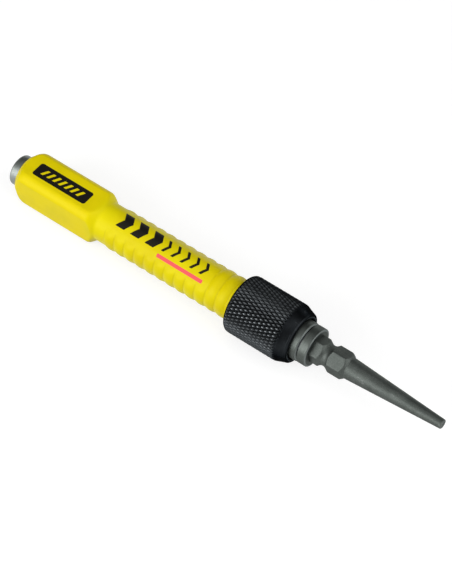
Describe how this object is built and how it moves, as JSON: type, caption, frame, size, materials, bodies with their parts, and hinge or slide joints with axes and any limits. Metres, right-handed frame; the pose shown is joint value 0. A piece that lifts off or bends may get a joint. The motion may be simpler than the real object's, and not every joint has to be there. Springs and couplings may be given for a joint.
{
  "type": "nail setter",
  "caption": "Nail setter with a square-headed ribbed grip, a knurled collet chuck and a reversible hex bit with a cupped punch at each end.",
  "frame": {"origin": "centre of the striking face", "axes": "+X along the tool from the striking face to the tip, +Z out of the square head's label face"},
  "size_m": [0.1298, 0.0156, 0.0156],
  "materials": {
    "moulded_yellow": "semi-gloss moulded plastic",
    "struck_steel": "turned bright steel",
    "core_steel": "turned steel",
    "hardened_steel": "hardened and oiled",
    "ring_rubber": "smooth nitrile rubber",
    "phosphated_steel": "grey phosphate over turned steel",
    "spring_black": "black spring steel",
    "washer_bronze": "plain bronze",
    "black_oxide_steel": "black oxide, diamond knurled",
    "bit_steel": "dark grey-green phosphate"
  },
  "bodies": {
    "handle": {"handle_grip": "moulded_yellow", "strike_cap": "struck_steel", "steel_core": "core_steel", "thrust_bush": "hardened_steel", "collar_o_ring": "ring_rubber"},
    "collet": {"collet": "phosphated_steel", "bit_grip_ring": "spring_black", "thrust_washer": "washer_bronze"},
    "collar": {"knurled_collar": "black_oxide_steel", "collet_snap_ring": "spring_black"},
    "bit": {"reversible_bit": "bit_steel"}
  },
  "joints": [
    {"name": "collet_travel", "type": "slide", "parent": "handle", "child": "collet", "axis": [1, 0, 0], "range_m": [0, 0.0098]},
    {"name": "collar_turn", "type": "hinge", "parent": "collet", "child": "collar", "pos_m": [0.08, 0, 0], "axis": [1, 0, 0], "range_deg": [0, 4680]},
    {"name": "bit_slide", "type": "slide", "parent": "handle", "child": "bit", "axis": [1, 0, 0], "range_m": [0, 0.055]}
  ],
  "couplings": [
    {"joint": "collet_travel", "follows": "collar_turn", "m_per_rad": 0.00011937}
  ]
}
